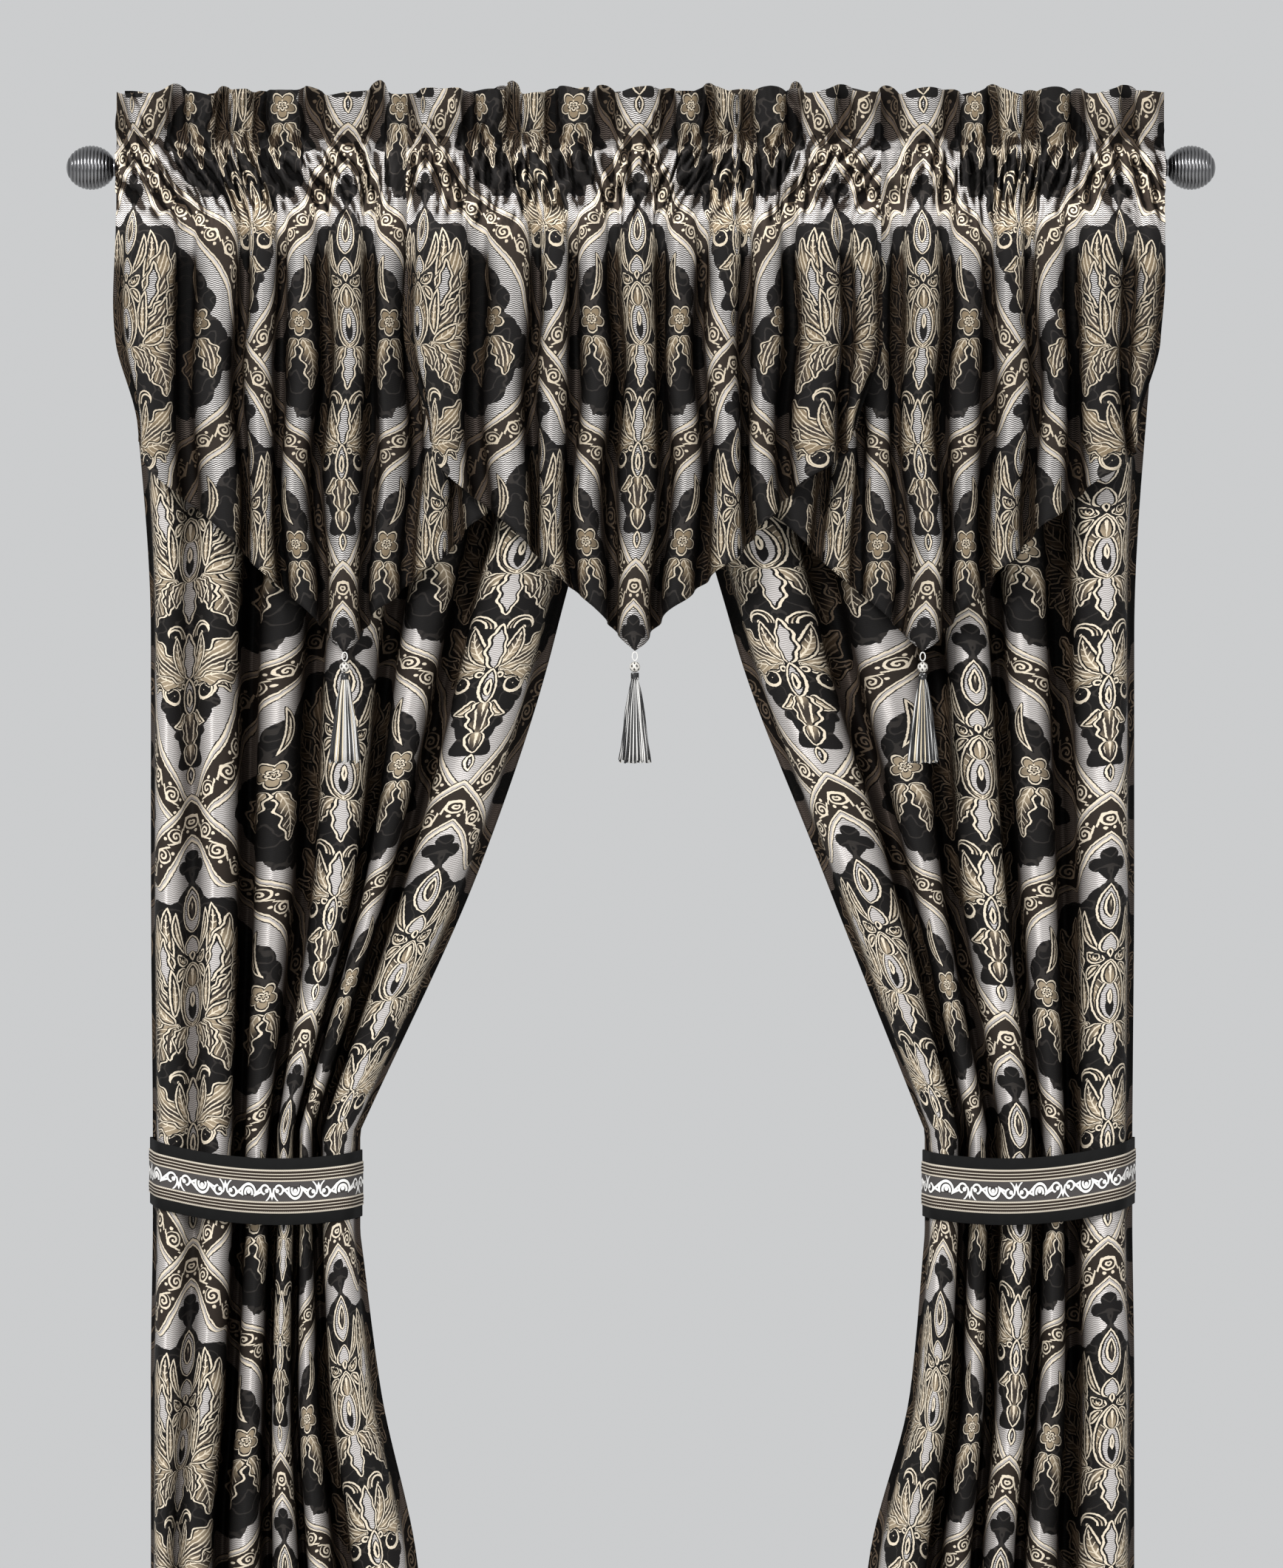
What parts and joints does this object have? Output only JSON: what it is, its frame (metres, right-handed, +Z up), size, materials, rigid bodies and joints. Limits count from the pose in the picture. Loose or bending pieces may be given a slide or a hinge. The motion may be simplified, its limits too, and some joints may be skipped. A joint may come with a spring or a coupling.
{
  "type": "swag and tail drape on a curtain rod",
  "caption": "Jacquard window drape on a plain rod: overlapping pointed gathered valances with tassels over two panels tied back with braided bands.",
  "frame": {"origin": "middle of the rod, on its axis", "axes": "+X along the rod to the viewer's right, -Y towards the room, +Z up"},
  "size_m": [1.0884, 0.1213, 2.1381],
  "materials": {
    "jacquard": "woven damask jacquard, near-black ground with silver satin, cream and antique gold threads",
    "band_satin": "matt black satin",
    "woven_braid": "woven braid with cream stripes and a white scroll on grey",
    "tassel_thread": "twisted white thread",
    "tassel_bead": "bead covered with silver thread",
    "tassel_strand": "black, cream and silver rayon strands",
    "rod_metal": "satin black steel tube",
    "finial_metal": "polished pewter grey, turned ring grooves"
  },
  "bodies": {
    "root": {"rod": "rod_metal", "finial_left": "finial_metal", "finial_right": "finial_metal", "panel_left": "jacquard", "panel_right": "jacquard", "valance_left": "jacquard", "valance_centre": "jacquard", "valance_right": "jacquard", "tie_band_left": "band_satin", "tie_band_right": "band_satin", "tie_braid_left": "woven_braid", "tie_braid_right": "woven_braid", "tassel_loop_left": "tassel_thread", "tassel_loop_centre": "tassel_thread", "tassel_loop_right": "tassel_thread", "tassel_bead_left": "tassel_bead", "tassel_bead_centre": "tassel_bead", "tassel_bead_right": "tassel_bead", "tassel_skirt_left": "tassel_strand", "tassel_skirt_centre": "tassel_strand", "tassel_skirt_right": "tassel_strand"}
  },
  "joints": []
}
